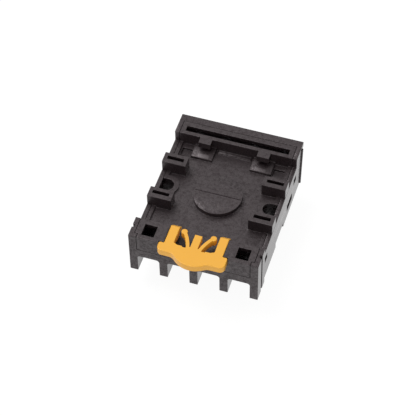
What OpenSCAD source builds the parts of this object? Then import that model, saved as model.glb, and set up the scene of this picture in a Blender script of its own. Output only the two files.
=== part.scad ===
// Eight-pin plug-in relay socket for a 35 mm rail, lying on its relay seat with its rail side up.
// X runs across the socket, Y along it with the rail clip at -Y, and Z up from the relay seat.
// The origin is on the axis of the relay's centre spigot, at the mouth of its hole.

/* [Housing] */
// Width across the side walls
body_w = 41; // [40:0.1:44]
// Width across the corner posts and the end plate
post_w = 41.8; // [41.2:0.1:44.4]
// Distance from the spigot axis to the clip end face
near_reach = 25.7; // [25.2:0.1:28]
// Distance from the spigot axis to the other end face, under its rim
far_reach = 25.2; // [24.8:0.1:27]
// How far that end face leans in at its foot
far_lean = 1.2; // [0:0.1:1.5]
// How far the rim stands out over that end face
rim_out = 1.4; // [0.4:0.1:2]
// Height of that rim
rim_h = 1.6; // [1:0.1:2.4]
// Whole height, from the relay seat to the panel side
height = 24; // [24:0.1:27]
// How far the relay seat stands proud of the terminal barriers
seat_rise = 7; // [5:0.1:7.2]
// Wall of the moulded socket body
wall = 1.5; // [1.2:0.1:1.8]
// Gap between two moulded pieces that are snapped together
snap_gap = 0.1; // [0.05:0.01:0.12]

/* [Relay seat] */
// Width of the raised seat
seat_w = 35.4; // [34:0.1:36]
// Length of the raised seat
seat_l = 28.8; // [27.6:0.1:29]
// Corner radius of the raised seat
seat_corner = 2; // [0.5:0.1:3]
// Thickness of the seat's front wall
seat_t = 2; // [1.5:0.1:3]
// Diameter of the circle that the relay pins stand on
pin_circle = 17.45; // [17.2:0.05:17.8]
// Diameter of a pin hole
pin_hole_d = 3; // [2.6:0.05:3.3]
// Diameter of the hole for the centre spigot
spigot_d = 8.3; // [8.1:0.05:8.6]
// Depth of the hole for the centre spigot
spigot_depth = 15.2; // [12:0.1:15.3]
// Wall around the spigot hole
spigot_wall = 2; // [1.8:0.1:2]
// Width of the keyway
key_w = 2.4; // [2:0.1:3]
// Reach of the keyway from the spigot axis
key_reach = 5.3; // [4.8:0.1:5.5]

/* [Terminals] */
// Distance between neighbouring terminals
bay_pitch = 9.8; // [9.6:0.1:10]
// Width of a terminal bay
bay_w = 7.1; // [6.8:0.1:7.4]
// Room between the deck over the terminals and the back cover
deck_room = 1.9; // [1.7:0.1:2.2]
// Distance from the spigot axis to a terminal screw's axis
screw_y = 19.5; // [19.3:0.1:19.8]
// Distance from the spigot axis to a bay's inner wall
bay_inner = 15.6; // [15.2:0.1:15.8]
// Radius of the fillets where the end wall meets the barriers
bay_fillet = 1; // [0.4:0.1:1]
// Thickness of the brass terminal strip
strip_t = 1; // [0.8:0.1:1.2]
// Width of the strip under the screw
strip_w = 6.4; // [5.8:0.1:6.5]
// Width of the strip's tongue to its contact
tongue_w = 3.4; // [3:0.1:3.6]
// Side of the square clamp plate under the screw head
clamp_w = 6.4; // [5.8:0.1:6.5]
// Thickness of the clamp plate
clamp_t = 0.7; // [0.5:0.1:0.9]
// Thread diameter of the terminal screw
screw_d = 3.5; // [3:0.1:3.5]
// Length of the screw under its head
screw_len = 4.8; // [4.4:0.1:4.9]
// Diameter of the screw head
head_d = 6.4; // [5.8:0.1:6.6]
// Height of the screw head
head_h = 2; // [1.6:0.1:2.2]
// Radial clearance of the thread in the strip
thread_gap = 0.05; // [0.02:0.01:0.08]
// Clearance between clamp plate, strip and head when tight
stack_gap = 0.05; // [0.02:0.01:0.08]

/* [Contacts] */
// Outer diameter of the rolled contact sleeve
sleeve_d = 4; // [3.8:0.1:4.2]
// Inner diameter of the rolled contact sleeve
sleeve_bore = 2.5; // [2.45:0.05:2.8]
// Clearance around the sleeve in its pocket
sleeve_gap = 0.3; // [0.1:0.05:0.35]
// Width of the slit in the sleeve
slit_w = 0.5; // [0.3:0.1:0.8]
// Diameter of the rivet that holds the sleeve to its strip
rivet_d = 2; // [1.6:0.1:2.2]
// Diameter of the rivet's closed head
rivet_head_d = 3.2; // [2.8:0.1:3.3]
// Height of the rivet's closed head
rivet_head_h = 0.5; // [0.3:0.1:0.7]

/* [Panel screw holes] */
// Distance between the two panel screw holes
panel_pitch = 34; // [33.6:0.1:34.2]
// Diameter of a panel screw hole
panel_d = 4.4; // [4.2:0.1:4.6]
// Diameter of the recess for a panel screw's head
panel_head_d = 8.6; // [8.2:0.1:9]
// Depth of that recess from the relay seat
panel_head_depth = 9; // [8:0.1:10]

/* [Rail recess] */
// Distance from the spigot axis to the block at the clip end
recess_near = 18.2; // [18:0.1:18.3]
// Distance from the spigot axis to the block at the other end
recess_far = 18.7; // [18.5:0.1:19]
// Depth of the recess below the panel side
recess_depth = 4.7; // [4.5:0.1:4.9]
// Height of the ledges that the rail flange lies on
ledge_h = 1; // [0.6:0.1:1.2]
// Distance from the spigot axis to the ledges
ledge_start = 13.3; // [12.6:0.1:14]
// Distance from the middle to a hook tab
tab_in = 7.7; // [7:0.1:8.4]
// Width of a hook tab
tab_w = 4.1; // [3.5:0.1:4.6]
// Width of the low step at the foot of the far block
stop_w = 1.2; // [0.6:0.1:1.6]
// Length of that step
stop_l = 11; // [6:0.1:14]
// Height of that step
stop_h = 0.4; // [0.3:0.1:1]
// How far a hook tab reaches past its block
tab_reach = 2.3; // [1.8:0.1:2.8]
// Thickness of a hook tab
tab_t = 2.3; // [1.8:0.1:2.4]
// Thickness of the cover's floor
cover_t = 1.6; // [1.2:0.1:1.7]
// Radius of the disc in the middle of the recess
disc_r = 7.8; // [5:0.1:9]
// Height of that disc
disc_h = 1.7; // [0.5:0.1:2.5]
// Height of the bosses around the panel screw holes
boss_h = 0.7; // [0.3:0.1:1]

/* [Pads] */
// Distance from the middle to a pad's inner side
pad_in = 12.6; // [12.2:0.1:13]
// Length of a pad along the socket
pad_l = 4; // [3.6:0.1:4.2]
// Start of the two pads towards the clip
pad_near = -9.2; // [-9.6:0.1:-9]
// Start of the two pads towards the hook tabs
pad_far = 5.5; // [5.2:0.1:5.8]
// Width of the slot in a pad
slot_w = 1.2; // [0.6:0.1:1.4]
// Length of the slot in a pad
slot_l = 5.4; // [4:0.1:5.6]

/* [Rail clip] */
// Width of the clip across its shoulders
clip_w = 22; // [21:0.1:23]
// Thickness of the clip's plate
clip_t = 2.5; // [2:0.1:2.5]
// How far the right shoulder stands out from the end face
clip_out = 3.7; // [3.4:0.1:4.6]
// How far the left shoulder stands back from the right one
shoulder_step = 1.2; // [0.6:0.1:1.6]
// Radius of the grip in the middle of the front edge
grip_r = 7.6; // [7:0.1:8]
// Radius of the fillets between the grip and the shoulders
grip_fillet = 3; // [2.4:0.1:3.2]
// Corner radius of the shoulders at the front
shoulder_r = 1.6; // [1:0.1:1.8]
// Distance from the middle to a leg's inner side
leg_in = 6.5; // [6.3:0.1:6.8]
// Width of a leg
leg_w = 2.9; // [2.6:0.1:3]
// How far the leg's nose reaches over the rail flange
nose_reach = 2; // [1.7:0.1:2.4]
// Width of a spring arm
arm_t = 1.1; // [0.8:0.1:1.2]
// Radius that a spring arm bends along
arm_r = 14.5; // [13:0.1:16]
// Angle that a spring arm bends through
arm_turn = 24; // [22:1:26]
// Radius of the knob on a spring arm
knob_r = 1; // [0.8:0.05:1.1]
// Width of the middle tongue
clip_tongue_w = 2.4; // [2:0.1:2.5]
// How far the clip draws out
clip_travel = 3; // [2:0.1:3]
// Clearance around the clip in its pocket
clip_gap = 0.1; // [0.05:0.01:0.15]

/* [Hidden] */
$fn = 64;
cut = 0.5;
terminals = [1 : 8];

// Levels above the relay seat
floor_z = height - recess_depth;
cover_under = floor_z - cover_t;
deck_z = cover_under - deck_room;
bay_top = deck_z - wall;
bay_depth = bay_top - seat_rise;
rest_z = cover_under - snap_gap;
side_top = floor_z + 0.6;
rim_z = height - rim_h;
strip_z = bay_top - strip_t;
clamp_z = strip_z - stack_gap - clamp_t;
head_top = clamp_z - stack_gap;
clip_z = height - clip_t;

// Inner outlines
cover_w = body_w - 2 * wall - 0.2;
cover_near_w = post_w - 2 * wall - 0.4;
cover_end_w = bay_pitch * 3 + bay_w;
near_room_w = cover_near_w + 2 * snap_gap;
end_room_w = cover_end_w + 2 * snap_gap;
far_inner = far_reach - wall + 0.3;
cavity_w = seat_w - 2 * wall;
cavity_l = seat_l - 2 * wall;
carrier_r = pin_circle / 2 + sleeve_d / 2 + sleeve_gap + 1;

// Terminal n stands at its pin's quarter: terminals 1 to 4 are at the clip end, 5 to 8 at the other.
// A terminal's outer place takes the outer bay and the pin nearer the side wall.
side_x = [-1, -1, 1, 1, -1, -1, 1, 1];
side_y = [-1, -1, -1, -1, 1, 1, 1, 1];
outer = [true, false, false, true, true, false, false, true];
pin_far = pin_circle / 2 * cos(22.5);
pin_near = pin_circle / 2 * sin(22.5);
inner_bay = bay_pitch / 2;
outer_bay = bay_pitch * 1.5;

module box(x0, x1, y0, y1, z0, z1) {
    translate([x0, y0, z0]) cube([x1 - x0, y1 - y0, z1 - z0]);
}

// A box of the given width about the middle
module mid_box(w, y0, y1, z0, z1) {
    box(-w / 2, w / 2, y0, y1, z0, z1);
}

// The same shape on the left and on the right
module both_sides() {
    children();
    mirror([1, 0, 0]) children();
}

// The same shape at both ends
module both_ends() {
    children();
    mirror([0, 1, 0]) children();
}

// A shape at each of the eight places where n is given
module at_quarter(n) {
    scale_x = side_x[n - 1] > 0 ? 0 : 1;
    scale_y = side_y[n - 1] > 0 ? 1 : 0;
    mirror([scale_x, 0, 0]) mirror([0, scale_y, 0]) children();
}

module rounded_square(w, l, r) {
    square([w - 2 * r, l], center = true);
    square([w, l - 2 * r], center = true);
    for (x = [-1, 1], y = [-1, 1]) {
        translate([x * (w / 2 - r), y * (l / 2 - r)]) circle(r);
    }
}

// Thickness of the plate at the leaning end
end_plate = 0.7;

// Outer form of the socket body as a full block, with the relay seat below
module body_block() {
    translate([-body_w / 2, 0, 0]) rotate([90, 0, 90]) linear_extrude(body_w) polygon([
        [-near_reach, seat_rise],
        [far_reach - far_lean, seat_rise],
        [far_reach, rim_z],
        [recess_far, rim_z],
        [recess_far, side_top],
        [-near_reach, side_top]
    ]);
    mid_box(body_w, recess_far, far_reach + rim_out, rim_z - cut, height);
    mid_box(post_w, -near_reach, -recess_near, seat_rise, height);
    // Plate that closes the leaning end and stands out a little from the side walls
    translate([-post_w / 2, 0, 0]) rotate([90, 0, 90]) linear_extrude(post_w) polygon([
        [far_reach - far_lean - end_plate, seat_rise],
        [far_reach - far_lean, seat_rise],
        [far_reach, rim_z],
        [far_reach - end_plate, rim_z]
    ]);
    linear_extrude(seat_rise + cut) rounded_square(seat_w, seat_l, seat_corner);
}

// Opening of one bay in an end wall, with fillets between the wall and the barriers
module bay_mouth() {
    square([bay_w - 2 * bay_fillet, 2 * bay_depth], center = true);
    square([bay_w, 2 * (bay_depth - bay_fillet)], center = true);
    for (x = [-1, 1]) {
        translate([x * (bay_w / 2 - bay_fillet), bay_depth - bay_fillet]) circle(bay_fillet);
    }
}

// Bay, screw hole and strip slot of one terminal, in the quarter at +X and -Y
module bay_cut(bay_x, slot_from, slot_to) {
    translate([bay_x, 0, seat_rise]) {
        translate([0, -bay_inner, 0]) rotate([90, 0, 0]) linear_extrude(near_reach) bay_mouth();
        box(-bay_w / 2, bay_w / 2, -plate_out - snap_gap, -bay_inner, -cut, bay_depth);
        translate([0, -screw_y, 0]) cylinder(d = screw_d + 0.7, h = bay_depth + wall + cut);
    }
    box(slot_from - snap_gap, slot_to + snap_gap, -bay_inner - cut, -cavity_l / 2 + cut,
        strip_z - snap_gap, bay_top);
}

// Pocket and pin hole of one contact
module contact_pocket(pin_x, pin_y) {
    translate([pin_x, pin_y, 0]) {
        translate([0, 0, -cut]) cylinder(d = pin_hole_d, h = seat_t + 2 * cut);
        translate([0, 0, seat_t]) cylinder(d = sleeve_d + 2 * sleeve_gap, h = strip_z);
    }
}

// Keyed hole for the relay's centre spigot
module spigot_hole() {
    translate([0, 0, -cut]) cylinder(d = spigot_d, h = spigot_depth + cut);
    box(-key_w / 2, key_w / 2, -key_reach, 0, -cut, spigot_depth);
}

// Windows in a side wall: two for the cover's snap lugs, and one plain relief between them
lug_near = [-17, -14.4];
lug_far = [15.7, 18.4];
lug_z = [deck_z + 0.35, deck_z + 1.25];
lug_room = 1.5;
relief_y = [8.3, 14];
relief_z = [10.1, 12.9];
relief_depth = 3;

// Groove between a corner post and the side wall
groove = 1.1;
groove_depth = 0.8;
groove_y = -near_reach + 3.6;

module side_windows() {
    both_sides() {
        for (y = [lug_near, lug_far]) {
            box(cover_w / 2, post_w, y[0], y[1], lug_z[0] - lug_room, lug_z[1]);
        }
        box(body_w / 2 - relief_depth, post_w, relief_y[0], relief_y[1], relief_z[0], relief_z[1]);
    }
}

module socket_body() {
    color([0.16, 0.15, 0.155]) difference() {
        union() {
            difference() {
                body_block();
                // Room for the back cover, and the deck over the terminal bays
                mid_box(cover_w + 2 * snap_gap, -near_reach + wall, far_inner - wall / 2, deck_z, height);
                mid_box(cover_w + 2 * snap_gap, -recess_near, far_inner, rest_z, height + cut);
                mid_box(near_room_w, -near_reach + wall, -recess_near + cut, rest_z, height + cut);
                mid_box(end_room_w, -near_reach - cut, -recess_near, rest_z, height + cut);
                mid_box(cavity_w, -cavity_l / 2, cavity_l / 2, seat_t, height);
            }
            // Carrier of the eight contacts, with the tube of the spigot hole
            cylinder(r = carrier_r, h = strip_z);
            cylinder(d = spigot_d + 2 * spigot_wall, h = rest_z);
            // Columns of the panel screw holes
            intersection() {
                mid_box(body_w, -seat_l / 2, seat_l / 2, seat_t / 2, rest_z);
                both_sides() translate([panel_pitch / 2, 0, 0]) {
                    cylinder(d = panel_d + 4, h = rest_z);
                    intersection() {
                        cylinder(d = panel_head_d + 2 * wall, h = panel_head_depth + wall);
                        box(-panel_head_d, (seat_w - panel_pitch) / 2, -seat_l / 2, seat_l / 2, 0, height);
                    }
                }
            }
        }
        both_ends() both_sides() {
            bay_cut(inner_bay, tongue_in, tongue_in + tongue_w);
            bay_cut(outer_bay, neck_in, neck_in + tongue_w);
        }
        both_ends() both_sides() {
            contact_pocket(pin_near, -pin_far);
            contact_pocket(pin_far, -pin_near);
        }
        spigot_hole();
        both_sides() translate([panel_pitch / 2, 0, -cut]) {
            cylinder(d = panel_d, h = rest_z + cut + 0.1);
            cylinder(d = panel_head_d, h = panel_head_depth + cut);
            box(0, body_w, -panel_head_d / 2, panel_head_d / 2, 0, panel_head_depth + cut);
        }
        side_windows();
        // Grooves that set the corner posts off from the side walls
        both_sides() {
            box(post_w / 2 - groove_depth, post_w, groove_y, groove_y + groove, 0, height + cut);
        }
    }
}

// Places in a strip, in the quarter at +X and -Y
tongue_in = pin_near - tongue_w / 2;
neck_in = cavity_w / 2 - snap_gap - tongue_w - 0.1;
plate_out = screw_y + strip_w / 2;
bar_y = cavity_l / 2 - 0.3;

// Lying strip of brass from the screw to the contact
module strip_outline(is_outer) {
    bay_x = is_outer ? outer_bay : inner_bay;
    pin_x = is_outer ? pin_far : pin_near;
    pin_y = is_outer ? pin_near : pin_far;
    run_in = is_outer ? neck_in : tongue_in;
    translate([bay_x - strip_w / 2, -plate_out]) square([strip_w, plate_out - bay_inner - 0.2]);
    if (is_outer) {
        translate([run_in, -bay_inner - 0.3]) square([tongue_w, bay_inner + 0.3 - bar_y + tongue_w]);
        translate([pin_x - tongue_w / 2, -bar_y]) square([run_in - pin_x + 1.5 * tongue_w, tongue_w]);
        translate([pin_x - tongue_w / 2, -bar_y]) square([tongue_w, bar_y - pin_y]);
    } else {
        translate([run_in, -bay_inner - 0.3]) square([tongue_w, bay_inner + 0.3 - pin_y]);
    }
    translate([pin_x, -pin_y]) circle(d = tongue_w);
}

module terminal_strip(n) {
    is_outer = outer[n - 1];
    bay_x = is_outer ? outer_bay : inner_bay;
    pin_x = is_outer ? pin_far : pin_near;
    pin_y = is_outer ? pin_near : pin_far;
    color([0.78, 0.64, 0.33]) at_quarter(n) difference() {
        translate([0, 0, strip_z]) linear_extrude(strip_t) strip_outline(is_outer);
        translate([bay_x, -screw_y, 0]) cylinder(d = screw_d + 2 * thread_gap, h = height);
        translate([pin_x, -pin_y, 0]) cylinder(d = rivet_d + 2 * thread_gap, h = height);
    }
}

// Rolled sleeve with its slit at the mouth and its rivet at the top
module pin_contact(n) {
    is_outer = outer[n - 1];
    pin_x = is_outer ? pin_far : pin_near;
    pin_y = is_outer ? pin_near : pin_far;
    mouth = seat_t + 0.6;
    color([0.86, 0.78, 0.52]) at_quarter(n) translate([pin_x, -pin_y, 0]) difference() {
        union() {
            translate([0, 0, mouth]) cylinder(d = sleeve_d, h = strip_z - mouth);
            translate([0, 0, mouth]) cylinder(d = rivet_d, h = bay_top + rivet_head_h - mouth);
            translate([0, 0, bay_top]) cylinder(d = rivet_head_d, h = rivet_head_h);
        }
        translate([0, 0, mouth - cut]) cylinder(d = sleeve_bore, h = strip_z - 2 * strip_t - mouth + cut);
        box(0, sleeve_d, -slit_w / 2, slit_w / 2, mouth - cut, strip_z - 3 * strip_t);
    }
}

module at_screw(n) {
    bay_x = outer[n - 1] ? outer_bay : inner_bay;
    at_quarter(n) translate([bay_x, -screw_y, 0]) children();
}

// Square pressed plate that the screw carries, with clipped corners on the wire's side
module clamp_plate(n) {
    half = clamp_w / 2;
    corner = 1.2;
    color([0.75, 0.75, 0.73]) at_screw(n) difference() {
        translate([0, 0, clamp_z]) linear_extrude(clamp_t) polygon([
            [-half, half],
            [-half, corner - half],
            [corner - half, -half],
            [half - corner, -half],
            [half, corner - half],
            [half, half]
        ]);
        cylinder(d = screw_d + 4 * thread_gap, h = height);
    }
}

// Pan-head screw with a cross and a slot in its head
module terminal_screw(n) {
    dome = 0.5;
    color([0.8, 0.8, 0.78]) at_screw(n) difference() {
        union() {
            translate([0, 0, head_top - head_h + dome]) cylinder(d = head_d, h = head_h - dome);
            translate([0, 0, head_top - head_h]) cylinder(d1 = head_d - 1.4, d2 = head_d, h = dome);
            translate([0, 0, head_top - cut]) cylinder(d = screw_d, h = screw_len + cut);
        }
        translate([0, 0, head_top - head_h - cut]) {
            box(-head_d / 2, head_d / 2, -0.45, 0.45, 0, cut + 0.9);
            box(-0.5, 0.5, -1.7, 1.7, 0, cut + 1.2);
            box(-1.7, 1.7, -0.5, 0.5, 0, cut + 1.2);
        }
    }
}

// Places in the rail recess
tab_out = tab_in + tab_w;
tab_under = height - tab_t;
ledge_z = floor_z + ledge_h;
pocket_w = 2 * (leg_in + leg_w + clip_gap);
pocket_end = near_reach - 1.1;
pocket_z = clip_z - clip_gap;
shoulder_y = near_reach - 0.7;
flange_w = 0.8;
flange_h = 1;
flange_out = leg_in + leg_w + flange_w - clip_gap;
flange_z = clip_z - flange_h + 0.1;
flange_from = pocket_end - clip_travel - 0.2;

module pad(start) {
    difference() {
        union() {
            box(pad_in, body_w / 2, start, start + pad_l, side_top + snap_gap, height);
            box(pad_in, cover_w / 2, start, start + pad_l, cover_under, height);
        }
        slot_mid = (pad_in + body_w / 2) / 2;
        box(slot_mid - slot_l / 2, slot_mid + slot_l / 2, start + 1.6, start + 1.6 + slot_w,
            cover_under - cut, height + cut);
    }
}

// Distance from the ends of the far block to its long slot
slot_margin = 1.65;

// Block that the rail hooks under, hollow below, with its long slot and two hook tabs
module far_block() {
    block_end = far_inner - snap_gap;
    slot_half = cover_w / 2 - slot_margin;
    difference() {
        union() {
            mid_box(cover_w, recess_far, block_end, cover_under, height);
            both_sides() box(tab_in, tab_out, recess_far - tab_reach, recess_far + cut, tab_under, height);
        }
        mid_box(2 * slot_half, recess_far + 1.3, recess_far + 3.4, cover_under, height + cut);
        mid_box(cover_w - 2 * wall, recess_far + wall, block_end - wall, cover_under - cut, height - wall);
        // Windows that shape the underside of the tabs
        both_sides() box(tab_in + 0.2, tab_out - 0.2, recess_far - cut, recess_far + 2, ledge_z, tab_under);
    }
}

// Block at the clip end, with the clip's pocket, its grooves and the two square holes
module near_block() {
    hole_w = 4;
    hole_l = 4.2;
    hole_in = cover_near_w / 2 - 2.1 - hole_w;
    difference() {
        union() {
            mid_box(cover_near_w, -near_reach + wall + snap_gap, -recess_near, cover_under, height);
            mid_box(cover_end_w, -near_reach, -recess_near, cover_under, height);
        }
        both_sides() {
            box(hole_in - 0.9, hole_in + hole_w + 0.9, -near_reach + wall, -recess_near - 1.1,
                cover_under - cut, height - wall);
            translate([hole_in, -near_reach + wall, floor_z]) cube([hole_w, hole_l, height]);
        }
        mid_box(pocket_w, -pocket_end, 0, floor_z, height + cut);
        mid_box(pocket_w, -near_reach - cut, -pocket_end + cut, pocket_z, height + cut);
        mid_box(clip_w + 2 * clip_gap, -near_reach - cut, -shoulder_y + clip_gap, pocket_z, height + cut);
        mid_box(pocket_w + 2 * flange_w, -pocket_end, 0, flange_z - clip_gap, clip_z + clip_gap);
    }
}

// Wall of the bosses around the panel screw holes
boss_wall = 1.7;

// Width of the cover's low rim along each side wall
side_rim = 1.3;

// Square recesses in the floor beside the ledges
square_w = 3.4;
square_l = 2.9;
square_out = cover_w / 2 - 1.8;

module back_cover() {
    color([0.18, 0.17, 0.175]) difference() {
        union() {
            mid_box(cover_w, -recess_near - cut, recess_far + cut, cover_under, floor_z);
            far_block();
            near_block();
            both_sides() {
                pad(pad_near);
                pad(pad_far);
                // Low rim along the side wall, level with its top
                box(cover_w / 2 - side_rim, cover_w / 2, -recess_near - cut, recess_far + cut,
                    floor_z - cut, side_top);
                // Ledges for the rail flange, with a square recess beside each
                box(tab_in - 1.4, square_out - square_w - 0.3, ledge_start, recess_far + cut,
                    floor_z - cut, ledge_z);
                intersection() {
                    translate([panel_pitch / 2, 0, 0]) {
                        cylinder(d = panel_d + 2 * boss_wall, h = floor_z + boss_h);
                    }
                    box(0, cover_w / 2, -panel_d, panel_d, cover_under, height);
                }
                box(panel_pitch / 2, cover_w / 2, -panel_d / 2 - boss_wall, panel_d / 2 + boss_wall,
                    cover_under, floor_z + boss_h);
                // Snap lugs in the side windows
                for (y = [lug_near, lug_far]) {
                    box(cover_w / 2 - 1.2, cover_w / 2, y[0], y[1], lug_z[0] - 0.2, cover_under + cut);
                    box(cover_w / 2 - 0.6, body_w / 2 - 1.1, y[0] + clip_gap, y[1] - clip_gap,
                        lug_z[0] + clip_gap, lug_z[1] - clip_gap);
                }
            }
            cylinder(r = disc_r, h = disc_h + floor_z);
            // Low step at the foot of the far block
            mid_box(stop_l, recess_far - stop_w, recess_far + cut, floor_z - cut, floor_z + stop_h);
        }
        // The disc is only on the upper side
        translate([0, 0, -cut]) cylinder(r = disc_r + cut, h = cover_under + cut);
        both_sides() {
            translate([panel_pitch / 2, 0, 0]) cylinder(d = panel_d, h = height);
            // The hole is open to the side wall, which gives it its flat side
            box(panel_pitch / 2, cover_w / 2 + cut, -panel_d / 2, panel_d / 2, 0, height);
            box(square_out - square_w, square_out, ledge_start + cut, ledge_start + cut + square_l,
                floor_z - 0.8, floor_z + cut);
        }
        // Witness line of the mould across the disc
        mid_box(2 * disc_r + 1, -0.08, 0.08, floor_z + disc_h - 0.06, height);
    }
}

// Places in the clip's outline
arm_root = 2;
arm_lean = 14.7;
top_r = 0.6;
grip_x = 0.5;
grip_out = 1.95;
tongue_l = 6.4;

// Spring arm of the clip, which leans and bends outwards, with its knob
module clip_arm() {
    translate([arm_root, -near_reach + 1.2]) rotate(-arm_lean) translate([arm_r, 0]) {
        intersection() {
            difference() {
                circle(arm_r + arm_t / 2);
                circle(arm_r - arm_t / 2);
            }
            polygon([
                [0, 0],
                [-2 * arm_r, -0.2 * arm_r],
                [-2 * arm_r * cos(arm_turn), 2 * arm_r * sin(arm_turn)]
            ]);
        }
        rotate(-arm_turn) translate([-arm_r, 0]) circle(knob_r);
    }
}

// One half of the clip's plate, whose shoulder stands out from the end face by the given reach
module clip_half(reach) {
    front = -near_reach - reach;
    back = -shoulder_y;
    translate([0, front]) square([clip_w / 2 - shoulder_r, back - front]);
    translate([0, front + shoulder_r]) square([clip_w / 2, back - front - shoulder_r - top_r]);
    translate([clip_w / 2 - shoulder_r - cut, back - 2 * top_r]) {
        square([cut + shoulder_r - top_r, 2 * top_r]);
    }
    translate([clip_w / 2 - shoulder_r, front + shoulder_r]) circle(shoulder_r);
    translate([clip_w / 2 - top_r, back - top_r]) circle(top_r);
}

// Fillet between the grip and a shoulder, where the grip's axis is at the given place
module clip_fillet(grip_at, reach) {
    front = -near_reach - reach;
    axis_y = front - grip_fillet;
    apart = grip_r + grip_fillet;
    axis_x = grip_at[0] + sqrt(pow(apart, 2) - pow(grip_at[1] - axis_y, 2));
    touch = grip_fillet / apart;
    difference() {
        polygon([
            [axis_x, front],
            [axis_x, axis_y],
            [axis_x + (grip_at[0] - axis_x) * touch, axis_y + (grip_at[1] - axis_y) * touch],
            [grip_at[0], front + cut]
        ]);
        translate([axis_x, axis_y]) circle(grip_fillet);
    }
}

// Outline of the clip seen from the panel side
module clip_outline() {
    grip_y = -near_reach - clip_out - grip_out + grip_r;
    left_out = clip_out - shoulder_step;
    difference() {
        translate([grip_x, grip_y]) circle(grip_r);
        translate([grip_x - 2 * grip_r, -near_reach]) square(4 * grip_r);
    }
    clip_half(clip_out);
    clip_fillet([grip_x, grip_y], clip_out);
    mirror([1, 0, 0]) {
        clip_half(left_out);
        clip_fillet([-grip_x, grip_y], left_out);
    }
    for (side = [0, 1]) {
        mirror([side, 0]) {
            translate([leg_in, -near_reach]) square([leg_w, near_reach - recess_near + 0.1]);
            polygon([
                [leg_in + cut, -near_reach],
                [leg_in + cut, -near_reach + 1.6],
                [leg_in, -near_reach + 1.6],
                [5.3, -near_reach + 1.05],
                [3.7, -near_reach + 1.05],
                [3.3, -near_reach]
            ]);
            translate([0, -near_reach]) square([arm_root, 1.4]);
            translate([0, -near_reach]) square([clip_tongue_w / 2, tongue_l]);
            clip_arm();
        }
    }
}

module rail_clip() {
    color([0.98, 0.68, 0.25]) {
        translate([0, 0, clip_z]) linear_extrude(clip_t) clip_outline();
        both_sides() {
            // Leg foot with the flange that keeps the clip in its grooves
            box(leg_in, leg_in + leg_w, -flange_from, -recess_near - 0.4, flange_z, clip_z + 0.1);
            box(leg_in, flange_out, -flange_from, -recess_near - 0.4, flange_z, clip_z);
            // Nose with its ramp, which a rail pushes aside as the socket goes on
            translate([leg_in, 0, 0]) rotate([90, 0, 90]) linear_extrude(leg_w) polygon([
                [-recess_near - 0.5, clip_z],
                [-recess_near + nose_reach, clip_z],
                [-recess_near + nose_reach, clip_z + 0.4],
                [-recess_near + 0.1, height],
                [-recess_near - 0.5, height]
            ]);
        }
    }
}

socket_body();
back_cover();
rail_clip();
for (n = terminals) {
    terminal_strip(n);
    pin_contact(n);
    clamp_plate(n);
    terminal_screw(n);
}
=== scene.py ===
import math

import bmesh
import bpy
import numpy as np
from mathutils import Matrix, Vector


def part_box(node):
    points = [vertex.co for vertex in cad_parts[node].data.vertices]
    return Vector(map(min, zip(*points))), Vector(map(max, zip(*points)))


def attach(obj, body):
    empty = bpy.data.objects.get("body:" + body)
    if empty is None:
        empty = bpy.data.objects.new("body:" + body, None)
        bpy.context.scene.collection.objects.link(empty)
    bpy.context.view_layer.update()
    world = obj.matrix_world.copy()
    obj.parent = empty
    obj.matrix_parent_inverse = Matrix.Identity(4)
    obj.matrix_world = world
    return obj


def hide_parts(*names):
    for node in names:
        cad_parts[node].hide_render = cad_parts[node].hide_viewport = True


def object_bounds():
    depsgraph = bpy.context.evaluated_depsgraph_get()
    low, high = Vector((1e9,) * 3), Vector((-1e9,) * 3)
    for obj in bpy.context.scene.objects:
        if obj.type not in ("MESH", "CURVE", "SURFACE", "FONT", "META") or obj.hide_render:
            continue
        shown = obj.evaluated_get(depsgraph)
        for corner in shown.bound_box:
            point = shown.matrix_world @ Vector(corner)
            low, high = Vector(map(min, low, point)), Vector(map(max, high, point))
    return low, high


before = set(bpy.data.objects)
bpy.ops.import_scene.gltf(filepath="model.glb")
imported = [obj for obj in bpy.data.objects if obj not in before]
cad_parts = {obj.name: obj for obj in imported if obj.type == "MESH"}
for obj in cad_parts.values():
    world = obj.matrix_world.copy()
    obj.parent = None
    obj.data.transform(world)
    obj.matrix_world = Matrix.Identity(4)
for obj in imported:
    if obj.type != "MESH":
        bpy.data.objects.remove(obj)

cad_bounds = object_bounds()


# --- The table it lies on, the room's light and the camera ---
# The socket lies on its relay seat on a plain white table, in a white room with a large soft lamp
# high to the left and a weaker one low in front. The camera looks down on it over its clip end, a
# little from the right.
def linear(code):
    """sRGB hex colour to linear red, green, blue and alpha: the standard sRGB curve, channel by channel."""
    parts = np.array([int(code[i : i + 2], 16) / 255 for i in (1, 3, 5)])
    curve = np.where(parts <= 0.04045, parts / 12.92, ((parts + 0.055) / 1.055) ** 2.4)
    return (*curve.tolist(), 1.0)


def add_node(tree, kind, inputs=None, **settings):
    """Adds a node. settings are its own properties, and inputs holds a value or the socket to link,

    by the name or number of the socket that takes it.
    """
    made = tree.nodes.new(kind)
    for name, value in settings.items():
        setattr(made, name, value)
    for key, value in (inputs or {}).items():
        if isinstance(value, bpy.types.NodeSocket):
            tree.links.new(value, made.inputs[key])
        else:
            made.inputs[key].default_value = value
    return made


def new_material(name):
    """An empty node material and its tree."""
    made = bpy.data.materials.new(name)
    made.use_nodes = True
    made.node_tree.nodes.clear()
    return made, made.node_tree


def seen_straight(tree):
    """1 on rays from the camera, off a glossy face or through a clear one, and 0 on all others."""
    seen = add_node(tree, "ShaderNodeLightPath").outputs
    direct = add_node(
        tree, "ShaderNodeMath", {0: seen["Is Camera Ray"], 1: seen["Is Glossy Ray"]}, operation="MAXIMUM"
    )
    return add_node(
        tree, "ShaderNodeMath", {0: direct.outputs[0], 1: seen["Is Transmission Ray"]}, operation="MAXIMUM"
    ).outputs[0]


scene = bpy.context.scene
scene.view_settings.view_transform = "Standard"

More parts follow.
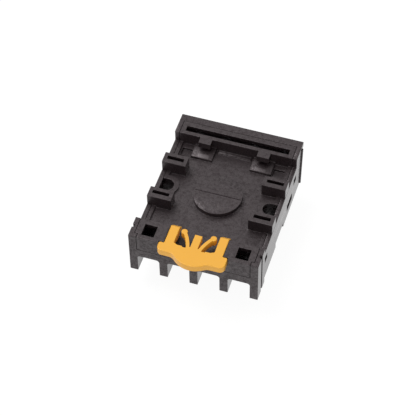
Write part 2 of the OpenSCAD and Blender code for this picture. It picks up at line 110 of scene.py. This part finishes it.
# Table top: matt white laminate, which keeps the soft shadow under the socket. It lies a hair under
# the relay seat, so that the two faces don't coincide.
table_half = 3.0
table_gap = 0.00002
table_z = cad_bounds[0][2] - table_gap
table_mesh = bpy.data.meshes.new("table_top")
table_mesh.from_pydata(
    [(x * table_half, y * table_half, table_z) for x, y in ((-1, -1), (1, -1), (1, 1), (-1, 1))],
    [],
    [(0, 1, 2, 3)],
)
table = bpy.data.objects.new("table_top", table_mesh)
scene.collection.objects.link(table)

laminate, tree = new_material("white_laminate")
straight = seen_straight(tree)
# Share of plain white that a straight look at the table mixes in, over its lit surface
white_share = 0.86
share = add_node(tree, "ShaderNodeMath", {0: straight, 1: white_share}, operation="MULTIPLY")
lit = add_node(tree, "ShaderNodeBsdfDiffuse", {"Color": linear("#ececec")})
plain = add_node(tree, "ShaderNodeEmission", {"Color": linear("#ffffff"), "Strength": 1.08})
mixed = add_node(tree, "ShaderNodeMixShader", {0: share.outputs[0], 1: lit.outputs[0], 2: plain.outputs[0]})
add_node(tree, "ShaderNodeOutputMaterial", {"Surface": mixed.outputs[0]})
table_mesh.materials.append(laminate)

# Room: white all round, dimmer as a lamp than it looks.
room = bpy.data.worlds.new("white_room")
scene.world = room
room.use_nodes = True
tree = room.node_tree
tree.nodes.clear()
straight = seen_straight(tree)
walls = add_node(tree, "ShaderNodeBackground", {"Color": linear("#ffffff"), "Strength": 0.55})
seen_walls = add_node(tree, "ShaderNodeBackground", {"Color": linear("#ffffff"), "Strength": 1.0})
mixed = add_node(tree, "ShaderNodeMixShader", {0: straight, 1: walls.outputs[0], 2: seen_walls.outputs[0]})
add_node(tree, "ShaderNodeOutputWorld", {"Surface": mixed.outputs[0]})


def soft_lamp(name, direction, distance, size, power):
    """A square lamp at that distance from the socket, facing its middle."""
    lamp = bpy.data.lights.new(name, "AREA")
    lamp.shape = "SQUARE"
    lamp.size = size
    lamp.energy = power
    placed = bpy.data.objects.new(name, lamp)
    scene.collection.objects.link(placed)
    away = Vector(direction).normalized()
    placed.location = away * distance + Vector((0, 0, 0.02))
    placed.rotation_euler = away.to_track_quat("Z", "Y").to_euler()


soft_lamp("key_lamp", (-0.6, 0.1, 1.3), 0.8, 0.45, 3.2)
soft_lamp("fill_lamp", (0.1, -1.0, 0.45), 0.9, 0.5, 0.8)

# Camera: azimuth from straight in front, elevation over the table, and roll, in degrees
azimuth, elevation, roll = (math.radians(a) for a in (18.42, 51.6, -0.89))
toward = Vector(
    (
        math.sin(azimuth) * math.cos(elevation),
        -math.cos(azimuth) * math.cos(elevation),
        math.sin(elevation),
    )
)
level_right = Vector((math.cos(azimuth), math.sin(azimuth), 0))
level_up = toward.cross(level_right)
right = level_right * math.cos(roll) + level_up * math.sin(roll)
up = level_up * math.cos(roll) - level_right * math.sin(roll)
# The view's middle lies a little to the left of and below the middle of the rail side
rail_side = Vector((0, 0.0004, 0.024))
shift_left = 0.00324
shift_down = 0.00637
camera_distance = 0.507
aim = rail_side - right * shift_left - up * shift_down
lens = bpy.data.cameras.new("camera")
lens.lens = 139.77
lens.sensor_width = 36
lens.clip_start = 0.02
camera = bpy.data.objects.new("camera", lens)
scene.collection.objects.link(camera)
turn = Matrix((right, up, toward)).transposed().to_4x4()
camera.matrix_world = Matrix.Translation(aim + toward * camera_distance) @ turn
scene.camera = camera


# --- Socket body ---
# One injection moulding of glass-filled black polycarbonate: side walls, terminal barriers, relay
# seat, contact carrier and the deck over the terminals. Its mould is spark-eroded to a fine grain.
sharp_angle = math.radians(40)
crease_angle = math.radians(32)
flat_angle = math.radians(0.6)
weld = 2e-6

# Room for a whole rounding, and how far it may run along a flat edge, in widths
whole_room = 2.5
longest_run = 1.5
# Share of a flat edge that a rounding may take
run_share = 0.4
# Sine under which two lines count as running alongside
alongside = 0.5
# Cosine from which two edges count as one line
onward_cosine = -0.8


def edge_weights(shell, width):
    """Rounding weight of each edge, from the room its faces have.

    An edge weighs 1 where its faces have no other sharp edge within the whole room, and less in
    proportion to that distance. A flat edge that leaves its end at a small angle lowers the weight by
    the sine of that angle, so the rounding can't run out along it. Edges that carry on in one line
    or curve share the smallest weight among them.
    """
    sharp = {e: len(e.link_faces) == 2 and e.calc_face_angle(0) > sharp_angle for e in shell.edges}
    full = whole_room * width
    room = {e: full for e in shell.edges if sharp[e]}
    for face in shell.faces:
        rim = [e for e in face.edges if sharp[e]]
        if len(rim) < 2:
            continue
        corners = list({v for e in rim for v in e.verts})
        start = np.array([e.verts[0].co[:] for e in rim])
        span = np.array([e.verts[1].co[:] for e in rim]) - start
        length = np.linalg.norm(span, axis=1) + 1e-12
        for corner in corners:
            at = np.array(corner.co[:])
            t = np.clip(((at - start) * span).sum(1) / length**2, 0, 1)
            gap = start + t[:, None] * span - at
            far = np.linalg.norm(gap, axis=1)
            across = np.linalg.norm(np.cross(gap, span / length[:, None]), axis=1)
            for i in np.flatnonzero((far < full) & (far > 0) & (across > alongside * far)):
                if corner in rim[i].verts:
                    continue
                room[rim[i]] = min(room[rim[i]], far[i])
                for other in corner.link_edges:
                    if other in room:
                        course = np.array((other.verts[1].co - other.verts[0].co).normalized()[:])
                        if np.linalg.norm(np.cross(gap[i], course)) > alongside * far[i]:
                            room[other] = min(room[other], far[i])
    weights = {}
    for edge, clear in room.items():
        weight = clear / full
        for end in edge.verts:
            course = (edge.other_vert(end).co - end.co).normalized()
            for flat in end.link_edges:
                if sharp[flat]:
                    continue
                run = flat.other_vert(end).co - end.co
                sine = course.cross(run.normalized()).length
                if course.dot(run) > 0 and sine < alongside:
                    reach = min(run_share * run.length, longest_run * width)
                    weight = min(weight, sine * reach / width)
        weights[edge] = weight
    uneven = True
    while uneven:
        uneven = False
        for corner in shell.verts:
            ends = [e for e in corner.link_edges if e in weights]
            for i, one in enumerate(ends):
                for two in ends[i + 1 :]:
                    course = (one.other_vert(corner).co - corner.co).normalized()
                    onward = (two.other_vert(corner).co - corner.co).normalized()
                    if course.dot(onward) < onward_cosine and weights[one] != weights[two]:
                        weights[one] = weights[two] = min(weights[one], weights[two])
                        uneven = True
    return weights


def finished_copy(node, name, edge_radius, rounds=2, keep_below=None):
    """The CAD solid as one closed mesh with its flat faces made whole and its sharp edges rounded.

    keep_below cuts the copy at that height, closes it and keeps what lies below.
    """
    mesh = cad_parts[node].data.copy()
    mesh.name = name
    mesh.materials.clear()
    shell = bmesh.new()
    shell.from_mesh(mesh)
    bmesh.ops.remove_doubles(shell, verts=shell.verts, dist=weld)
    if keep_below is not None:
        cut = bmesh.ops.bisect_plane(
            shell,
            geom=[*shell.verts, *shell.edges, *shell.faces],
            plane_co=(0, 0, keep_below),
            plane_no=(0, 0, 1),
            clear_outer=True,
        )
        rim = [e for e in cut["geom_cut"] if isinstance(e, bmesh.types.BMEdge)]
        bmesh.ops.edgeloop_fill(shell, edges=rim)
    bmesh.ops.dissolve_limit(
        shell, angle_limit=flat_angle, verts=shell.verts, edges=shell.edges, delimit={"NORMAL"}
    )
    for face in shell.faces:
        face.smooth = True
    layer = shell.edges.layers.float.new("bevel_weight_edge")
    for edge, weight in edge_weights(shell, edge_radius).items():
        edge[layer] = weight
    shell.to_mesh(mesh)
    shell.free()
    mesh.set_sharp_from_angle(angle=crease_angle)
    made = bpy.data.objects.new(name, mesh)
    scene.collection.objects.link(made)
    rounding = made.modifiers.new("moulded_edges", "BEVEL")
    rounding.width = edge_radius
    rounding.segments = rounds
    rounding.limit_method = "WEIGHT"
    rounding.use_clamp_overlap = False
    rounding.loop_slide = False
    rounding.harden_normals = True
    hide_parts(node)
    return made


# Spark-eroded polycarbonate: near-black, with a fine grain that breaks its gloss into a grey bloom.
# The side walls slid along polished steel, so they are smoother and mirror the table.
polycarbonate, tree = new_material("spark_eroded_polycarbonate")
place = add_node(tree, "ShaderNodeTexCoord").outputs["Object"]
clouds = add_node(
    tree,
    "ShaderNodeTexNoise",
    {"Vector": place, "Scale": 1 / 0.009, "Detail": 3.0, "Roughness": 0.55},
)
fine = add_node(
    tree,
    "ShaderNodeTexNoise",
    {"Vector": place, "Scale": 1 / 0.0004, "Detail": 2.0, "Roughness": 0.6},
)
coarse = add_node(
    tree,
    "ShaderNodeTexNoise",
    {"Vector": place, "Scale": 1 / 0.0011, "Detail": 2.0, "Roughness": 0.5},
)
grain = add_node(
    tree,
    "ShaderNodeMix",
    {"Factor": 0.45, "A": fine.outputs["Fac"], "B": coarse.outputs["Fac"]},
    data_type="FLOAT",
)
facing = add_node(
    tree,
    "ShaderNodeSeparateXYZ",
    {0: add_node(tree, "ShaderNodeTexCoord").outputs["Normal"]},
)
sideways = add_node(tree, "ShaderNodeMath", {0: facing.outputs["X"]}, operation="ABSOLUTE")
polish = add_node(
    tree,
    "ShaderNodeMapRange",
    {"Value": sideways.outputs[0], "From Min": 0.8, "From Max": 0.98},
    interpolation_type="SMOOTHSTEP",
)
tint = add_node(
    tree,
    "ShaderNodeMix",
    {"Factor": clouds.outputs["Fac"], "A": linear("#1a1314"), "B": linear("#221a1c")},
    data_type="RGBA",
)
# Line across the disc where two blocks of the mould met: dull and darker than the skin beside it
line_half_width = 0.00013
line_z = 0.0205
line_reach = 0.0075
spot = add_node(tree, "ShaderNodeSeparateXYZ", {0: place})
off_line = add_node(tree, "ShaderNodeMath", {0: spot.outputs["Y"]}, operation="ABSOLUTE").outputs[0]
off_middle = add_node(tree, "ShaderNodeMath", {0: spot.outputs["X"]}, operation="ABSOLUTE").outputs[0]
on_line = add_node(tree, "ShaderNodeMath", {0: off_line, 1: line_half_width}, operation="LESS_THAN")
on_disc = add_node(tree, "ShaderNodeMath", {0: spot.outputs["Z"], 1: line_z}, operation="GREATER_THAN")
near = add_node(tree, "ShaderNodeMath", {0: off_middle, 1: line_reach}, operation="LESS_THAN")
joint_line = add_node(
    tree,
    "ShaderNodeMath",
    {0: on_line.outputs[0], 1: on_disc.outputs[0]},
    operation="MULTIPLY",
)
joint_line = add_node(
    tree,
    "ShaderNodeMath",
    {0: joint_line.outputs[0], 1: near.outputs[0]},
    operation="MULTIPLY",
)
gloss = add_node(
    tree,
    "ShaderNodeMapRange",
    {"Value": grain.outputs["Result"], "From Min": 0.36, "From Max": 0.64, "To Min": 0.54, "To Max": 0.26},
)
gloss = add_node(
    tree,
    "ShaderNodeMix",
    {"Factor": polish.outputs["Result"], "A": gloss.outputs["Result"], "B": 0.2},
    data_type="FLOAT",
)
# Ledge tops: one strip on each reflects more strongly than the skin around it, a painted highlight
ledge_x = (0.0077, 0.0114)
ledge_y = (0.0136, 0.0150)
ledge_z = 0.0201
fade = 0.0003
painted_highlight_mask = None
for value, edge, rise in (
    (off_middle, ledge_x[0], fade),
    (off_middle, ledge_x[1], -fade),
    (spot.outputs["Y"], ledge_y[0], fade),
    (spot.outputs["Y"], ledge_y[1], -fade),
    (spot.outputs["Z"], ledge_z, fade),
):
    side = add_node(
        tree,
        "ShaderNodeMapRange",
        {"Value": value, "From Min": edge - rise / 2, "From Max": edge + rise / 2},
    ).outputs["Result"]
    if painted_highlight_mask is not None:
        side = add_node(tree, "ShaderNodeMath", {0: painted_highlight_mask, 1: side}, operation="MULTIPLY").outputs[0]
    painted_highlight_mask = side
sparkle = add_node(
    tree,
    "ShaderNodeMapRange",
    {"Value": grain.outputs["Result"], "From Min": 0.36, "From Max": 0.66, "To Min": 0.26, "To Max": 0.66},
)
sparkle = add_node(
    tree,
    "ShaderNodeMix",
    {"Factor": polish.outputs["Result"], "A": sparkle.outputs["Result"], "B": 0.5},
    data_type="FLOAT",
)
# Painted highlight: the strip on each ledge top gets a raised specular level
sparkle = add_node(
    tree, "ShaderNodeMix", {"Factor": painted_highlight_mask, "A": sparkle.outputs["Result"], "B": 0.85}, data_type="FLOAT"
)
sparkle = add_node(
    tree,
    "ShaderNodeMix",
    {"Factor": joint_line.outputs[0], "A": sparkle.outputs["Result"], "B": 0.05},
    data_type="FLOAT",
)
rough_height = add_node(
    tree, "ShaderNodeMapRange", {"Value": polish.outputs["Result"], "To Min": 1.0, "To Max": 0.15}
)
relief = add_node(
    tree,
    "ShaderNodeBump",
    {"Height": grain.outputs["Result"], "Strength": rough_height.outputs["Result"], "Distance": 0.00009},
)
plastic = add_node(
    tree,
    "ShaderNodeBsdfPrincipled",
    {
        "Base Color": tint.outputs["Result"],
        "Roughness": gloss.outputs["Result"],
        "IOR": 1.6,
        "Specular IOR Level": sparkle.outputs["Result"],
        "Specular Tint": linear("#fff4f7"),
        "Normal": relief.outputs["Normal"],
    },
)
add_node(tree, "ShaderNodeOutputMaterial", {"Surface": plastic.outputs[0]})

body = finished_copy("socket_body", "moulded_body", 0.00014)
body.data.materials.append(polycarbonate)
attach(body, "housing")


# --- Terminal strips ---
# Eight strips blanked from half-hard brass sheet, pressed into slots in the body. Each runs from its
# screw to its contact.
brass, tree = new_material("rolled_brass")
place = add_node(tree, "ShaderNodeTexCoord").outputs["Object"]
along = add_node(tree, "ShaderNodeMapping", {"Vector": place, "Scale": (1.0, 0.06, 1.0)})
rolling = add_node(
    tree,
    "ShaderNodeTexNoise",
    {"Vector": along.outputs["Vector"], "Scale": 1 / 0.00018, "Detail": 3.0, "Roughness": 0.6},
)
tarnish = add_node(
    tree,
    "ShaderNodeTexNoise",
    {"Vector": place, "Scale": 1 / 0.003, "Detail": 4.0, "Roughness": 0.6},
)
tint = add_node(
    tree,
    "ShaderNodeMix",
    {"Factor": tarnish.outputs["Fac"], "A": linear("#d9b868"), "B": linear("#b8924a")},
    data_type="RGBA",
)
gloss = add_node(
    tree,
    "ShaderNodeMapRange",
    {"Value": rolling.outputs["Fac"], "From Min": 0.3, "From Max": 0.7, "To Min": 0.2, "To Max": 0.38},
)
relief = add_node(
    tree,
    "ShaderNodeBump",
    {"Height": rolling.outputs["Fac"], "Strength": 0.25, "Distance": 0.00001},
)
metal = add_node(
    tree,
    "ShaderNodeBsdfPrincipled",
    {
        "Base Color": tint.outputs["Result"],
        "Metallic": 1.0,
        "Roughness": gloss.outputs["Result"],
        "Normal": relief.outputs["Normal"],
    },
)
add_node(tree, "ShaderNodeOutputMaterial", {"Surface": metal.outputs[0]})

terminals = range(1, 9)
for n in terminals:
    strip = finished_copy(f"terminal_strip_{n}", f"blanked_strip_{n}", 0.00007)
    strip.data.materials.append(brass)
    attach(strip, "housing")


# --- Pin contacts ---
# Eight sleeves rolled from spring brass, each riveted to the end of its strip. A slit lets the
# sleeve's mouth open for the relay's pin.
spring_brass, tree = new_material("rolled_spring_brass")
place = add_node(tree, "ShaderNodeTexCoord").outputs["Object"]
drawn = add_node(tree, "ShaderNodeMapping", {"Vector": place, "Scale": (1.0, 1.0, 0.08)})
streaks = add_node(
    tree,
    "ShaderNodeTexNoise",
    {"Vector": drawn.outputs["Vector"], "Scale": 1 / 0.0002, "Detail": 3.0, "Roughness": 0.6},
)
tint = add_node(
    tree,
    "ShaderNodeMix",
    {"Factor": streaks.outputs["Fac"], "A": linear("#e2c583"), "B": linear("#c9a862")},
    data_type="RGBA",
)
gloss = add_node(
    tree,
    "ShaderNodeMapRange",
    {"Value": streaks.outputs["Fac"], "From Min": 0.3, "From Max": 0.7, "To Min": 0.18, "To Max": 0.32},
)
relief = add_node(
    tree,
    "ShaderNodeBump",
    {"Height": streaks.outputs["Fac"], "Strength": 0.2, "Distance": 0.00001},
)
metal = add_node(
    tree,
    "ShaderNodeBsdfPrincipled",
    {
        "Base Color": tint.outputs["Result"],
        "Metallic": 1.0,
        "Roughness": gloss.outputs["Result"],
        "Normal": relief.outputs["Normal"],
    },
)
add_node(tree, "ShaderNodeOutputMaterial", {"Surface": metal.outputs[0]})

for n in terminals:
    sleeve = finished_copy(f"pin_contact_{n}", f"rolled_sleeve_{n}", 0.00006)
    sleeve.data.materials.append(spring_brass)
    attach(sleeve, "housing")


# --- Clamp plates ---
# Eight square plates pressed from zinc-plated steel. Each hangs loose on its screw and presses the
# wire against the strip.
zinc, tree = new_material("zinc_plated_steel")
place = add_node(tree, "ShaderNodeTexCoord").outputs["Object"]
crystals = add_node(
    tree,
    "ShaderNodeTexNoise",
    {"Vector": place, "Scale": 1 / 0.0006, "Detail": 5.0, "Roughness": 0.7},
)
haze = add_node(
    tree,
    "ShaderNodeTexNoise",
    {"Vector": place, "Scale": 1 / 0.004, "Detail": 2.0, "Roughness": 0.5},
)
tint = add_node(
    tree,
    "ShaderNodeMix",
    {"Factor": haze.outputs["Fac"], "A": linear("#d5d8da"), "B": linear("#bfc5cb")},
    data_type="RGBA",
)
gloss = add_node(
    tree,
    "ShaderNodeMapRange",
    {"Value": crystals.outputs["Fac"], "From Min": 0.3, "From Max": 0.7, "To Min": 0.2, "To Max": 0.36},
)
relief = add_node(
    tree,
    "ShaderNodeBump",
    {"Height": crystals.outputs["Fac"], "Strength": 0.2, "Distance": 0.00001},
)
metal = add_node(
    tree,
    "ShaderNodeBsdfPrincipled",
    {
        "Base Color": tint.outputs["Result"],
        "Metallic": 1.0,
        "Roughness": gloss.outputs["Result"],
        "Normal": relief.outputs["Normal"],
    },
)
add_node(tree, "ShaderNodeOutputMaterial", {"Surface": metal.outputs[0]})

for n in terminals:
    plate = finished_copy(f"clamp_plate_{n}", f"pressed_plate_{n}", 0.0001)
    plate.data.materials.append(zinc)
    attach(plate, f"clamp_{n}")


# --- Terminal screws ---
# Eight pan-head machine screws, cold-headed with a slot and a cross, thread-rolled at 0.6 mm pitch and
# zinc-plated. They stand head down here, because the socket lies with its rail side up.
thread_pitch = 0.0006
thread_major = 0.00174
thread_core = 0.00142
thread_steps = 12
# Slope of the ridge's flanks, and how much of the wave's foot stays in the core
flank_slope = 2.6
flank_foot = 0.55
# Chamfer at the point of the screw
point_chamfer = 0.0003


def rolled_thread(name, centre, z_from, z_to):
    """Threaded shank as one closed tube.

    The radius at height z and angle a is the core radius plus the thread's depth times a trapezoid
    wave of z / pitch minus a / full turn, so the ridge climbs one pitch a turn. The depth fades over
    the last pitch, the last half pitch is chamfered, and both ends close on the axis.
    """
    around = 40
    rows = int(round((z_to - z_from) / thread_pitch * thread_steps)) + 1
    z = np.linspace(z_from, z_to, rows)[:, None]
    a = np.linspace(0, 2 * math.pi, around, endpoint=False)[None, :]
    phase = np.mod(z / thread_pitch - a / (2 * math.pi), 1.0)
    wave = np.clip(flank_slope * (1 - np.abs(2 * phase - 1)) - flank_foot, 0, 1)
    fade = np.clip((z_to - z) / thread_pitch, 0, 1)
    radius = thread_core + (thread_major - thread_core) * wave * fade
    radius = radius - point_chamfer * np.clip(1 - (z_to - z) / (0.5 * thread_pitch), 0, 1)
    ring = np.stack([centre[0] + radius * np.cos(a), centre[1] + radius * np.sin(a), z + 0 * a], axis=-1)
    ends = np.array([[centre[0], centre[1], z_from], [centre[0], centre[1], z_to]])
    points = np.concatenate([ring.reshape(-1, 3), ends])
    i, j = np.meshgrid(np.arange(rows - 1), np.arange(around), indexing="ij")
    k = (j + 1) % around
    walls = np.stack([i * around + j, i * around + k, (i + 1) * around + k, (i + 1) * around + j], axis=-1)
    j = np.arange(around)
    k = (j + 1) % around
    low = rows * around
    start = np.stack([np.full(around, low), k, j], axis=-1)
    last = (rows - 1) * around
    end = np.stack([np.full(around, low + 1), last + j, last + k], axis=-1)
    mesh = bpy.data.meshes.new(name)
    mesh.from_pydata(points.tolist(), [], walls.reshape(-1, 4).tolist() + start.tolist() + end.tolist())
    mesh.shade_smooth()
    mesh.set_sharp_from_angle(angle=math.radians(60))
    made = bpy.data.objects.new(name, mesh)
    scene.collection.objects.link(made)
    return made


head_height = 0.002
# The head keeps this much of the shank, and the threaded shank starts this far inside the head
collar = 0.00003
sunk = 0.0001
for n in terminals:
    low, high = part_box(f"terminal_screw_{n}")
    head_under = low.z + head_height
    head = finished_copy(f"terminal_screw_{n}", f"screw_head_{n}", 0.0001, keep_below=head_under + collar)
    head.data.materials.append(zinc)
    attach(head, f"screw_{n}")
    middle = (low + high) / 2
    shank = rolled_thread(f"screw_thread_{n}", (middle.x, middle.y), head_under - sunk, high.z)
    shank.data.materials.append(zinc)
    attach(shank, f"screw_{n}")


# --- Back cover ---
# A second moulding of the same polycarbonate, snapped into the body: the rail recess with its hook
# tabs, pads and ledges, and the pocket of the rail clip.
cover = finished_copy("back_cover", "moulded_cover", 0.00014)
cover.data.materials.append(polycarbonate)
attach(cover, "housing")


# --- Rail clip ---
# One moulding of yellow acetal with two legs, two bent spring arms and a middle tongue. It slides in
# the cover's pocket and snaps over the rail.
acetal, tree = new_material("moulded_acetal")
place = add_node(tree, "ShaderNodeTexCoord").outputs["Object"]
clouds = add_node(
    tree,
    "ShaderNodeTexNoise",
    {"Vector": place, "Scale": 1 / 0.005, "Detail": 2.0, "Roughness": 0.5},
)
skin = add_node(
    tree,
    "ShaderNodeTexNoise",
    {"Vector": place, "Scale": 1 / 0.0005, "Detail": 3.0, "Roughness": 0.6},
)
tint = add_node(
    tree,
    "ShaderNodeMix",
    {"Factor": clouds.outputs["Fac"], "A": linear("#f2b23b"), "B": linear("#edac38")},
    data_type="RGBA",
)
gloss = add_node(
    tree,
    "ShaderNodeMapRange",
    {"Value": skin.outputs["Fac"], "From Min": 0.3, "From Max": 0.7, "To Min": 0.3, "To Max": 0.42},
)
relief = add_node(
    tree,
    "ShaderNodeBump",
    {"Height": skin.outputs["Fac"], "Strength": 0.15, "Distance": 0.00003},
)
plastic = add_node(
    tree,
    "ShaderNodeBsdfPrincipled",
    {
        "Base Color": tint.outputs["Result"],
        "Roughness": gloss.outputs["Result"],
        "IOR": 1.48,
        "Normal": relief.outputs["Normal"],
    },
)
add_node(tree, "ShaderNodeOutputMaterial", {"Surface": plastic.outputs[0]})

clip = finished_copy("rail_clip", "moulded_clip", 0.00025, rounds=3)
clip.data.materials.append(acetal)
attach(clip, "clip")
